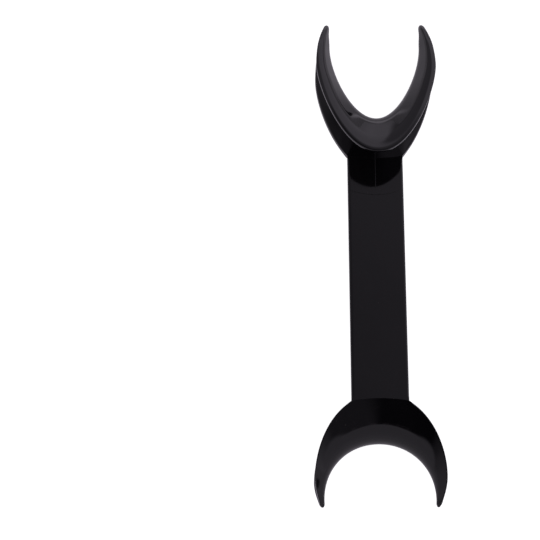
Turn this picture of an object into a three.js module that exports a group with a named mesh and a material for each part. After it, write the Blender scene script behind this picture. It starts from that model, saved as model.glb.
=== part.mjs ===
// Double-ended cheek retractor: one thin-walled plastic moulding with a flat handle and a
// C-shaped hook at each end. The small hook curls up and the large hook curls down, so the
// moulding is S-shaped from the side. Millimetres, +Z up, +Y towards the small hook.
//
// Each hook is a channel bent round the mouth opening: a plate that leaves the handle, a
// rounded saddle along the mouth edge, and a lip that comes back over (or under) the handle.
// The cheek sits in the channel between plate and lip.
//
// The regions of the moulding are separate meshes that share their boundary vertices, so they
// meet face to face with neither a gap nor an overlap.
import * as THREE from "three";

// Handle
const HANDLE_WIDTH = 20;
const HANDLE_THICKNESS = 2.8;
const LIP_SPACING = 82.1; // between the two lip rims, along the handle

// Wall of both hooks
const SADDLE_WALL = 2.1;
const LIP_RIM_WALL = 2.0;
const RIM_SQUARENESS = 0.5; // power on the rim's sine and cosine: 1 is half-round, 0 is square
const LIP_KNEE = 2.4; // how far before the rim the lip starts to level out, and after it
const CREASE_BOW = 0.9; // how much the crease between handle and plate bows inwards
const TIP_WIDTH = 1.8;
const TIP_HALF_HEIGHT = 1.2;
const HEIGHT_FALL = 2.6; // power by which a hook's height falls from its middle to its tips

// Most that a size may take of the space it has, where a hook thins out towards its tips
const ROUND_SHARE = 0.84; // the saddle's radius, of half the height
const WALL_SHARE = 0.75; // the saddle's wall, of its radius
const EDGE_SHARE = 0.8; // an edge's thickness, of half the height there
const RIM_SHARE = 0.9; // the lip rim's thickness, of the lip's width
const KNEE_SHARE = 0.3; // the lip's knee, of the lip's width

// Distances along a hook are measured from the middle of its lip rim towards its tips.
// "full" values are the tangent lengths of an outline's two curves, as shares of their spans.
const SMALL_HOOK = {
  name: "small_end",
  height: 22,
  channelDepth: 16,
  saddleRadius: 8.5,
  tipReach: 53,
  tipHalfSpacing: 16.1,
  mouth: {
    halfWidth: 16.2,
    widest: 44,
    full: { middle: 0.507, side: 0.369, horn: 0.6, tip: [0.06, 0.6] },
  },
  outline: {
    halfWidth: 21.3,
    widest: 34.2,
    full: { middle: 0.582, side: 0.291, horn: 0.274, tip: [0.22, 0.2] },
  },
};
const LARGE_HOOK = {
  name: "large_end",
  height: 22,
  channelDepth: 16,
  saddleRadius: 8.5,
  tipReach: 38.2,
  tipHalfSpacing: 19.2,
  mouth: {
    halfWidth: 19.4,
    widest: 35.6,
    full: { middle: 0.555, side: 0.584, horn: 0.5, tip: [0.02, 0.5] },
  },
  outline: {
    halfWidth: 22.7,
    widest: 28.4,
    full: { middle: 0.67, side: 0.417, horn: 0.31, tip: [0.25, 0.3] },
  },
};

// Mesh fineness
const NECK_STEPS = 4; // stations from the middle of a hook to the handle's side
const HORN_STEPS = 16; // stations from the handle's side to the rounding of the tip
const TIP_ANGLES = [30, 55, 75]; // degrees round the tip
const SADDLE_STEPS = 8;
const RIM_STEPS = 4;
const KNEE_STEPS = 3;
const CURVE_STEPS = 200;
const HALVINGS = 50; // of the range in a search

const BLACK_GLOSS = { color: 0x0d0b0d, roughness: 0.18, metalness: 0 };

// Half of an outline, from its middle to its tip, as two cubic curves that meet at the widest
// point with a common tangent.
function halfOutline(start, { halfWidth, widest, full }, tipX, tipY) {
  const span = widest - start;
  const horn = tipY - widest;
  const path = new THREE.CurvePath();
  path.add(
    new THREE.CubicBezierCurve(
      new THREE.Vector2(0, start),
      new THREE.Vector2(full.middle * halfWidth, start),
      new THREE.Vector2(halfWidth, widest - full.side * span),
      new THREE.Vector2(halfWidth, widest),
    ),
  );
  path.add(
    new THREE.CubicBezierCurve(
      new THREE.Vector2(halfWidth, widest),
      new THREE.Vector2(halfWidth, widest + full.horn * horn),
      new THREE.Vector2(tipX + full.tip[0] * horn, tipY - full.tip[1] * horn),
      new THREE.Vector2(tipX, tipY),
    ),
  );
  path.arcLengthDivisions = CURVE_STEPS;
  return path;
}

// Distance from a point, along a direction, to the first crossing with a line of points.
function reach(from, direction, line) {
  let nearest = Infinity;
  for (let i = 1; i < line.length; i++) {
    const edge = line[i].clone().sub(line[i - 1]);
    const offset = line[i - 1].clone().sub(from);
    const det = direction.y * edge.x - direction.x * edge.y;
    const along = (offset.y * edge.x - offset.x * edge.y) / det;
    const share = (direction.x * offset.y - direction.y * offset.x) / det;
    if (along > 0 && share >= 0 && share <= 1) nearest = Math.min(nearest, along);
  }
  return nearest;
}

// Where an outline is half the handle's width from the middle.
function neckOf(line, halfWidth) {
  const i = line.findIndex((p) => p.x > halfWidth);
  const share = (halfWidth - line[i - 1].x) / (line[i].x - line[i - 1].x);
  return new THREE.Vector2().lerpVectors(line[i - 1], line[i], share);
}

// The plan of one hook: its mouth edge, the plan outline of its lip, and the outline of its
// plate, which turns from the crease at the handle into the lip's outline at the neck.
function planOf(hook) {
  const mouth = halfOutline(hook.channelDepth, hook.mouth, hook.tipHalfSpacing, hook.tipReach);
  const rim = halfOutline(0, hook.outline, hook.tipHalfSpacing, hook.tipReach).getSpacedPoints(
    CURVE_STEPS,
  );
  const neck = neckOf(rim, HANDLE_WIDTH / 2);
  const crease = [];
  for (let i = 0; i <= CURVE_STEPS; i++) {
    const share = i / CURVE_STEPS;
    const x = share * neck.x;
    crease.push(new THREE.Vector2(x, neck.y - CREASE_BOW * (1 - share * share)));
  }
  const plate = crease.concat(rim.filter((p) => p.x > neck.x || p.y > neck.y));
  return { mouth, rim, plate, neck };
}

// One station of a hook: its place on the mouth edge, the way out from there, and how far out
// the lip and the plate reach.
function stationAt(plan, share) {
  const at = plan.mouth.getPointAt(share);
  const tangent = plan.mouth.getTangentAt(share);
  const out = new THREE.Vector2(tangent.y, -tangent.x);
  const widthTo = (line) => {
    const free = reach(at, out, line);
    return Number.isFinite(free) ? Math.hypot(free, share * TIP_WIDTH) : TIP_WIDTH;
  };
  return { at, out, lip: widthTo(plan.rim), plate: widthTo(plan.plate) };
}

// The share of the mouth edge from which the way out meets the neck corner.
function neckShare(plan) {
  let low = 0;
  let high = 1 / 2;
  for (let i = 0; i < HALVINGS; i++) {
    const middle = (low + high) / 2;
    const { at, out } = stationAt(plan, middle);
    const across = (plan.neck.x - at.x) * out.y - (plan.neck.y - at.y) * out.x;
    if (across < 0) low = middle;
    else high = middle;
  }
  return (low + high) / 2;
}

// A sine or cosine, drawn out so that a half circle turns into a rim with a flatter face.
function squared(value) {
  const size = Math.abs(value);
  return size < Number.EPSILON ? 0 : Math.sign(value) * Math.pow(size, RIM_SQUARENESS);
}

// The section of the channel at one station, as points (u, v): u is the way out from the mouth
// edge and v is up from the middle of the channel. The outer face runs from the plate's edge
// round the saddle to the lip, which levels out in a soft knee before its rounded rim, and the
// inner face runs beside it.
function sectionOf(hook, station, share, scale, atHandle) {
  const half = hook.height / 2;
  const fall = 1 - Math.pow(share, HEIGHT_FALL);
  const high = (TIP_HALF_HEIGHT + (half - TIP_HALF_HEIGHT) * fall) * scale;
  const lipWidth = station.lip * scale;
  const plateWidth = station.plate * scale;
  const radius = Math.min(hook.saddleRadius, ROUND_SHARE * half) * (high / half);
  const wall = Math.min(SADDLE_WALL, WALL_SHARE * radius);
  const edge = Math.min(HANDLE_THICKNESS, EDGE_SHARE * high);
  const rim = Math.min(LIP_RIM_WALL, EDGE_SHARE * high, RIM_SHARE * lipWidth);
  const knee = Math.min(LIP_KNEE, KNEE_SHARE * lipWidth);
  const noseWidth = lipWidth - rim / 2;
  const kneeWidth = noseWidth - knee;

  const tangentAngle = (width) => {
    const away = Math.hypot(width - radius, high);
    return Math.atan2(high, width - radius) + Math.acos(radius / away);
  };
  const lower = tangentAngle(plateWidth);
  const upper = tangentAngle(kneeWidth);
  const outer = [];
  const inner = [];
  for (let i = 0; i <= SADDLE_STEPS; i++) {
    const angle = -lower + (i / SADDLE_STEPS) * (upper + lower - 2 * Math.PI);
    const c = Math.cos(angle);
    const s = Math.sin(angle);
    outer.push([radius + radius * c, radius * s]);
    inner.push([radius + (radius - wall) * c, (radius - wall) * s]);
  }
  const nose = [];
  for (let i = 0; i <= RIM_STEPS; i++) {
    const angle = Math.PI / 2 - (i / RIM_STEPS) * Math.PI;
    const [forward, upward] = [Math.cos(angle), Math.sin(angle)].map(squared);
    nose.push([noseWidth + (rim / 2) * forward, high - rim / 2 + (rim / 2) * upward]);
  }
  const [saddleU, saddleV] = outer[SADDLE_STEPS];
  const back = knee / Math.hypot(kneeWidth - saddleU, high - saddleV);
  const bend = new THREE.QuadraticBezierCurve(
    new THREE.Vector2(kneeWidth + (saddleU - kneeWidth) * back, high + (saddleV - high) * back),
    new THREE.Vector2(kneeWidth, high),
    new THREE.Vector2(noseWidth, high),
  );
  const kneePoints = bend.getPoints(KNEE_STEPS).slice(0, -1);
  const plate = [
    [plateWidth, -high],
    [plateWidth, -high + edge],
  ];
  if (atHandle) {
    plate[0][1] = -half;
    plate[1][1] = -half + HANDLE_THICKNESS;
  }
  return {
    plate: [plate[0], outer[0], inner[0], plate[1]],
    saddle: [...outer, ...inner.toReversed()],
    lip: [outer[SADDLE_STEPS], ...kneePoints.map((p) => p.toArray()), ...nose, inner[SADDLE_STEPS]],
  };
}

// All stations of a hook from its left tip to its right tip.
function stationsOf(hook) {
  const plan = planOf(hook);
  const neck = neckShare(plan);
  const tipStart = 1 - TIP_WIDTH / plan.mouth.getLength();
  const half = [];
  for (let i = 0; i <= NECK_STEPS; i++) half.push({ share: (i / NECK_STEPS) * neck, scale: 1 });
  for (let i = 1; i <= HORN_STEPS; i++) {
    half.push({ share: neck + (i / HORN_STEPS) * (tipStart - neck), scale: 1 });
  }
  for (const degrees of TIP_ANGLES) {
    const angle = THREE.MathUtils.degToRad(degrees);
    half.push({ share: tipStart + (1 - tipStart) * Math.sin(angle), scale: Math.cos(angle) });
  }
  const right = half.map(({ share, scale }, i) => {
    const station = stationAt(plan, share);
    const beyondNeck = Math.max(0, (share - neck) / (1 - neck));
    const section = sectionOf(hook, station, beyondNeck, scale, i <= NECK_STEPS);
    const inset = ((1 - scale) * station.lip) / 2; // a tip closes on the middle of its width
    const at = station.at.clone().addScaledVector(station.out, inset);
    return { ...station, at, section, side: 1 };
  });
  const left = right.slice(1).map((station) => ({ ...station, side: -1 }));
  return [...left.toReversed(), ...right];
}

// A point of a hook's section in the handle's frame: the handle's front face is z = 0.
function placeOf(hook, station, [u, v]) {
  const x = station.side * (station.at.x + u * station.out.x);
  const y = station.at.y + u * station.out.y + LIP_SPACING / 2;
  const up = v + hook.height / 2;
  return hook === SMALL_HOOK
    ? new THREE.Vector3(x, y, up - HANDLE_THICKNESS)
    : new THREE.Vector3(x, -y, -up);
}

// A closed solid from a row of rings with equal numbers of points. A four-sided patch is split
// along its shorter diagonal, so that neighbours split the patches they share alike.
function sweep(rings, sections) {
  const positions = [];
  const triangle = (a, b, c) => positions.push(...a, ...b, ...c);
  for (let i = 1; i < rings.length; i++) {
    rings[i].forEach((_, j) => {
      const k = (j + 1) % rings[i].length;
      const [a, b] = [rings[i - 1][j], rings[i - 1][k]];
      const [d, c] = [rings[i][j], rings[i][k]];
      if (a.distanceTo(c) < b.distanceTo(d)) {
        triangle(a, b, c);
        triangle(a, c, d);
      } else {
        triangle(a, b, d);
        triangle(b, c, d);
      }
    });
  }
  [0, rings.length - 1].forEach((i) => {
    const flat = sections[i].map(([u, v]) => new THREE.Vector2(u, v));
    for (const corners of THREE.ShapeUtils.triangulateShape(flat, [])) {
      const turned = THREE.ShapeUtils.isClockWise(corners.map((j) => flat[j]));
      const ordered = turned === (i === 0) ? corners.toReversed() : corners;
      triangle(...ordered.map((j) => rings[i][j]));
    }
  });
  const geometry = new THREE.BufferGeometry();
  geometry.setAttribute("position", new THREE.Float32BufferAttribute(positions, 3));
  geometry.computeVertexNormals();
  return geometry;
}

function meshOf(name, geometry) {
  const mesh = new THREE.Mesh(geometry, new THREE.MeshStandardMaterial(BLACK_GLOSS));
  mesh.name = name;
  return mesh;
}

// The plate, saddle and lip of one hook.
function hookMeshes(hook, stations) {
  return ["plate", "saddle", "lip"].map((region) => {
    const sections = stations.map((station) => station.section[region]);
    const rings = stations.map((station, i) =>
      sections[i].map((point) => placeOf(hook, station, point)),
    );
    return meshOf(`${hook.name}_${region}`, sweep(rings, sections));
  });
}

// The flat handle: its ends are the creases where the two plates begin.
function handleMesh(smallStations, largeStations) {
  const creaseOf = (hook, stations) => {
    const middle = (stations.length - 1) / 2;
    return stations
      .slice(middle - NECK_STEPS, middle + NECK_STEPS + 1)
      .map((station) => placeOf(hook, station, station.section.plate[0]));
  };
  const corners = [
    ...creaseOf(LARGE_HOOK, largeStations),
    ...creaseOf(SMALL_HOOK, smallStations).toReversed(),
  ];
  const shape = new THREE.Shape(corners.map((p) => new THREE.Vector2(p.x, p.y)));
  const geometry = new THREE.ExtrudeGeometry(shape, {
    depth: HANDLE_THICKNESS,
    bevelEnabled: false,
  });
  geometry.translate(0, 0, -HANDLE_THICKNESS);
  return meshOf("handle", geometry);
}

// The tilt about X at which both ends of the moulding touch a level surface.
function restTilt(root) {
  const points = [];
  for (const mesh of root.children) {
    const place = mesh.geometry.getAttribute("position");
    for (let i = 0; i < place.count; i++) {
      points.push(new THREE.Vector3().fromBufferAttribute(place, i));
    }
  }
  const lowest = (tilt, end) =>
    Math.min(
      ...points
        .filter((p) => p.y * end > 0)
        .map((p) => p.y * Math.sin(tilt) + p.z * Math.cos(tilt)),
    );
  let low = -Math.PI / 4;
  let high = 0;
  for (let i = 0; i < HALVINGS; i++) {
    const middle = (low + high) / 2;
    if (lowest(middle, 1) < lowest(middle, -1)) low = middle;
    else high = middle;
  }
  return (low + high) / 2;
}

const smallStations = stationsOf(SMALL_HOOK);
const largeStations = stationsOf(LARGE_HOOK);
const moulding = new THREE.Group();
moulding.add(handleMesh(smallStations, largeStations));
moulding.add(...hookMeshes(SMALL_HOOK, smallStations));
moulding.add(...hookMeshes(LARGE_HOOK, largeStations));

// At rest: lying on the large hook's lip and the back of the small hook, with the origin under
// the middle of the whole moulding.
moulding.rotation.x = restTilt(moulding);
moulding.updateMatrixWorld(true);
const box = new THREE.Box3().setFromObject(moulding, true);
const middle = box.getCenter(new THREE.Vector3());
moulding.position.set(-middle.x, -middle.y, -box.min.z);

const retractor = new THREE.Group();
retractor.add(moulding);

export default retractor;
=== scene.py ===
"""Double-ended cheek retractor in polished black plastic, on a pale table under soft light.

The moulding is laid out in its own handle frame, in millimetres: the handle's front face is
z = 0, y runs along the handle towards the small hook, and x runs across it. The CAD handle
says where that frame lies, so every piece lands where its CAD node is.
"""

import logging
import math
from dataclasses import dataclass, field
from enum import Enum
from typing import ClassVar

import bpy
import numpy as np
from mathutils import Matrix, Vector


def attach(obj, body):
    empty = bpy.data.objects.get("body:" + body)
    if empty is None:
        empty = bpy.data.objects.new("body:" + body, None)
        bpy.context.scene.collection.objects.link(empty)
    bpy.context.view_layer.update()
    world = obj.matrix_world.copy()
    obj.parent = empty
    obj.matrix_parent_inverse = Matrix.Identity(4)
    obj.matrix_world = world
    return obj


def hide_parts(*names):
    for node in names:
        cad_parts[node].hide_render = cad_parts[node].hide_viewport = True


LOG = logging.getLogger("cheek_retractor")
MM = 0.001
TINY = 1e-12
CORNER_PULL = 0.82
LEAST_ROUNDING = 0.02
BODY = "root"

Colour = tuple[float, float, float]
Stops = tuple[tuple[float, float], ...]
Feed = bpy.types.NodeSocket | float | tuple

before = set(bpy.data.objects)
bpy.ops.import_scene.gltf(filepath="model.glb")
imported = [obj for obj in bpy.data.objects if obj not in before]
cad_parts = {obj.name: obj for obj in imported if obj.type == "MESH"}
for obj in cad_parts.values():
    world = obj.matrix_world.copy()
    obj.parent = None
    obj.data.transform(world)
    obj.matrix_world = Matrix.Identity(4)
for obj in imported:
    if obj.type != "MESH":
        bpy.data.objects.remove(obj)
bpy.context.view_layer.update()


# ---------------------------------------------------------------------------
# Sizes
# ---------------------------------------------------------------------------


class Facing(Enum):
    """Which way a hook's lip curls."""

    UP = 1
    DOWN = -1


@dataclass(frozen=True)
class Outline:
    """Half of a plan outline: two cubic curves that meet at the widest point.

    The tangent lengths are shares: `middle` of the half width, `side` of the stretch up to the
    widest point, `horn` and `tip` of the stretch beyond it.
    """

    half_width: float
    widest: float
    middle: float
    side: float
    horn: float
    tip: tuple[float, float]

    def points(self, start: float, tip_x: float, tip_y: float, steps: int) -> np.ndarray:
        """Traces the half outline from its middle to its tip.

        Args:
            start: Where the outline crosses the middle line, along the hook.
            tip_x: The tip's distance from the middle line.
            tip_y: The tip's distance along the hook.
            steps: Points on each of the two curves.

        Returns:
            An array of points (x, y).
        """
        horn = tip_y - self.widest
        first = [
            (0.0, start),
            (self.middle * self.half_width, start),
            (self.half_width, self.widest - self.side * (self.widest - start)),
            (self.half_width, self.widest),
        ]
        second = [
            (self.half_width, self.widest),
            (self.half_width, self.widest + self.horn * horn),
            (tip_x + self.tip[0] * horn, tip_y - self.tip[1] * horn),
            (tip_x, tip_y),
        ]
        return np.vstack([cubic(first, steps), cubic(second, steps)[1:]])


@dataclass(frozen=True)
class HandleSizes:
    """The handle and the walls, in millimetres."""

    width: float = 20.0
    thickness: float = 2.8
    lip_spacing: float = 82.1
    crease_bow: float = 0.9
    edge_radius: float = 0.6
    edge_fade: float = 2.0


@dataclass(frozen=True)
class HookSizes:
    """One hook, in millimetres, measured from the middle of its lip rim towards its tips.

    Near the tips the section is too small for full walls, so shares hold them back:
    `round_share` and `wall_share` hold the saddle's radius and wall, `edge_share` holds the
    plate's edge and the rim against the height, and `rim_share` and `knee_share` hold the rim
    and the knee against the lip's width. `height_fall` is the power by which the height falls.
    """

    name: str
    facing: Facing
    channel_depth: float
    tip_reach: float
    tip_half_spacing: float
    mouth: Outline
    outline: Outline
    height: float = 22.0
    saddle_radius: float = 8.5
    saddle_wall: float = 2.1
    rim_wall: float = 2.0
    rim_squareness: float = 0.5
    lip_knee: float = 2.4
    tip_width: float = 1.8
    tip_half_height: float = 1.2
    height_fall: float = 2.6
    round_share: float = 0.84
    wall_share: float = 0.75
    edge_share: float = 0.8
    rim_share: float = 0.9
    knee_share: float = 0.3


HANDLE = HandleSizes()
SMALL = HookSizes(
    name="small_end",
    facing=Facing.UP,
    channel_depth=16.0,
    tip_reach=53.0,
    tip_half_spacing=16.1,
    mouth=Outline(16.2, 44.0, 0.507, 0.369, 0.6, (0.06, 0.6)),
    outline=Outline(21.3, 34.2, 0.582, 0.291, 0.274, (0.22, 0.2)),
)
LARGE = HookSizes(
    name="large_end",
    facing=Facing.DOWN,
    channel_depth=16.0,
    tip_reach=38.2,
    tip_half_spacing=19.2,
    mouth=Outline(19.4, 35.6, 0.555, 0.584, 0.5, (0.02, 0.5)),
    outline=Outline(22.7, 28.4, 0.67, 0.417, 0.31, (0.25, 0.3)),
)


# ---------------------------------------------------------------------------
# Small helpers
# ---------------------------------------------------------------------------


def cubic(points: list[tuple[float, float]], steps: int) -> np.ndarray:
    """Samples a cubic curve evenly in its parameter.

    Args:
        points: Its four control points.
        steps: The number of points returned.

    Returns:
        An array of points (x, y).
    """
    t = np.linspace(0.0, 1.0, steps)[:, None]
    a, b, c, d = (np.array(p, float) for p in points)
    return (1 - t) ** 3 * a + 3 * (1 - t) ** 2 * t * b + 3 * (1 - t) * t**2 * c + t**3 * d


def reach(start: np.ndarray, way: np.ndarray, line: np.ndarray) -> float:
    """Finds how far a ray runs before it crosses a line of points.

    Args:
        start: Where the ray starts.
        way: Its unit direction.
        line: The points (x, y) of the line.

    Returns:
        The distance to the first crossing, or infinity.
    """
    edge = np.diff(line, axis=0)
    offset = line[:-1] - start
    det = way[1] * edge[:, 0] - way[0] * edge[:, 1]
    det = np.where(np.abs(det) < TINY, TINY, det)
    along = (offset[:, 1] * edge[:, 0] - offset[:, 0] * edge[:, 1]) / det
    share = (way[0] * offset[:, 1] - way[1] * offset[:, 0]) / det
    hit = along[(along > 0) & (share >= 0) & (share <= 1)]
    return float(hit.min()) if len(hit) else math.inf


def smooth_step(value: float) -> float:
    """Eases a share from 0 to 1 with level ends."""
    held = min(1.0, max(0.0, value))
    return held * held * (3 - 2 * held)


def quadratic(start: np.ndarray, pull: np.ndarray, end: np.ndarray, steps: int) -> np.ndarray:
    """Samples a quadratic curve from its start to its end, drawn towards a point."""
    t = np.linspace(0.0, 1.0, steps)[:, None]
    return (1 - t) ** 2 * start + 2 * (1 - t) * t * pull + t**2 * end


def rounded_corner(corner: np.ndarray, before: np.ndarray, after: np.ndarray, radius: float,
                   steps: int) -> np.ndarray:
    """Rounds a corner of a section with a quadratic sweep.

    Args:
        corner: The sharp corner.
        before: A point on the line that comes in.
        after: A point on the line that goes out.
        radius: How far along both lines the rounding starts.
        steps: Points on the rounding.

    Returns:
        An array of points from the line that comes in to the one that goes out.
    """
    to_before = (before - corner) / max(TINY, float(np.linalg.norm(before - corner)))
    to_after = (after - corner) / max(TINY, float(np.linalg.norm(after - corner)))
    a = corner + to_before * radius
    b = corner + to_after * radius
    pull = corner * CORNER_PULL + (a + b) * (1 - CORNER_PULL) / 2
    return quadratic(a, pull, b, steps)


def in_scene(name: str, data: bpy.types.ID) -> bpy.types.Object:
    """Makes an object of some data and puts it in the scene.

    Args:
        name: The object's name.
        data: Its mesh, lamp or camera.

    Returns:
        The object.
    """
    thing = bpy.data.objects.new(name, data)
    bpy.context.scene.collection.objects.link(thing)
    return thing


def grid_normals(points: np.ndarray, closed: bool) -> np.ndarray:
    """Works out a unit normal at every point of a grid of rows.

    Args:
        points: An array of shape (rows, columns, 3).
        closed: Whether each row closes on itself.

    Returns:
        Normals of the same shape.
    """
    along = np.gradient(points, axis=0)
    if closed:
        across = np.roll(points, -1, axis=1) - np.roll(points, 1, axis=1)
    else:
        across = np.gradient(points, axis=1)
    normal = np.cross(across, along)
    length = np.linalg.norm(normal, axis=2, keepdims=True)
    return normal / np.where(length < TINY, 1.0, length)


@dataclass
class Shell:
    """A mesh in the making: vertices with normals, and faces that take them or stay flat."""

    verts: list[np.ndarray] = field(default_factory=list)
    normals: list[np.ndarray] = field(default_factory=list)
    faces: list[tuple[int, ...]] = field(default_factory=list)
    flat: list[bool] = field(default_factory=list)

    def add_grid(self, points: np.ndarray, normals: np.ndarray) -> np.ndarray:
        """Adds a grid of vertices with no faces yet.

        Args:
            points: Places, of shape (rows, columns, 3).
            normals: Their normals.

        Returns:
            The vertices' numbers, of shape (rows, columns).
        """
        first = len(self.verts)
        rows, columns = points.shape[:2]
        self.verts.extend(points.reshape(-1, 3))
        self.normals.extend(normals.reshape(-1, 3))
        return np.arange(first, first + rows * columns).reshape(rows, columns)

    def skin(self, numbers: np.ndarray, flat: bool = False) -> None:
        """Spans a grid of vertices with four-sided faces.

        Args:
            numbers: The vertices' numbers, row by row.
            flat: Whether the faces are shaded flat.
        """
        rows, columns = numbers.shape
        for i in range(rows - 1):
            for j in range(columns - 1):
                face = (numbers[i, j], numbers[i, j + 1], numbers[i + 1, j + 1], numbers[i + 1, j])
                self.faces.append(tuple(int(n) for n in face))
                self.flat.append(flat)

    def cap_ends(self, numbers: np.ndarray) -> None:
        """Closes the first and the last row of a grid with one flat face each.

        Args:
            numbers: The vertices' numbers, row by row.
        """
        for ring in (numbers[0][::-1], numbers[-1]):
            self.faces.append(tuple(int(n) for n in ring))
            self.flat.append(True)

    def to_object(self, name: str, place: Matrix) -> bpy.types.Object:
        """Turns the shell into an object in the scene.

        Args:
            name: The object's name.
            place: The handle frame's place in the row frame.

        Returns:
            The new object, with smooth normals from the whole moulding's surface.
        """
        turn = np.array(place.to_3x3())
        shift = np.array(place.translation)
        verts = np.array(self.verts) * MM @ turn.T + shift
        mesh = bpy.data.meshes.new(name)
        mesh.from_pydata(verts.tolist(), [], self.faces)
        mesh.update()
        mesh.shade_smooth()
        normals = np.array(self.normals) @ turn.T
        face_normals = [tuple(p.normal) for p in mesh.polygons]
        loops = []
        for face, flat, own in zip(self.faces, self.flat, face_normals):
            for n in face:
                loops.append(own if flat else tuple(normals[n]))
        mesh.normals_split_custom_set(loops)
        return in_scene(name, mesh)


# ---------------------------------------------------------------------------
# Where the handle frame lies
# ---------------------------------------------------------------------------


@dataclass(frozen=True)
class Placement:
    """The handle frame's place in the row frame, in metres."""

    LEAST_UPWARD: ClassVar[float] = 0.5
    matrix: Matrix

    @classmethod
    def from_handle(cls, handle: bpy.types.Object, neck: float) -> "Placement":
        """Reads the placement off the CAD handle.

        Args:
            handle: The CAD handle.
            neck: The small neck corner's distance along y in the handle frame, in millimetres.

        Returns:
            The placement.
        """
        upward = [p for p in handle.data.polygons if p.normal.z > cls.LEAST_UPWARD]
        normal = max(upward, key=lambda p: p.area).normal
        turn = Matrix.Rotation(-math.atan2(normal.y, normal.z), 3, "X")
        local = [turn.transposed() @ v.co for v in handle.data.vertices]
        front = max(p.z for p in local)
        along = max(p.y for p in local) - neck * MM
        shift = turn @ Vector((0.0, along, front))
        return cls(Matrix.Translation(shift) @ turn.to_4x4())

    def point(self, x: float, y: float, z: float) -> Vector:
        """Places a point of the handle frame, given in millimetres."""
        return self.matrix @ (Vector((x, y, z)) * MM)


# ---------------------------------------------------------------------------
# The moulding
# ---------------------------------------------------------------------------


@dataclass(frozen=True)
class Station:
    """One cut across a hook's channel, with its widths and how far it has shrunk to the tip."""

    at: np.ndarray
    out: np.ndarray
    lip: float
    plate: float
    beyond_neck: float
    scale: float
    side: int


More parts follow.
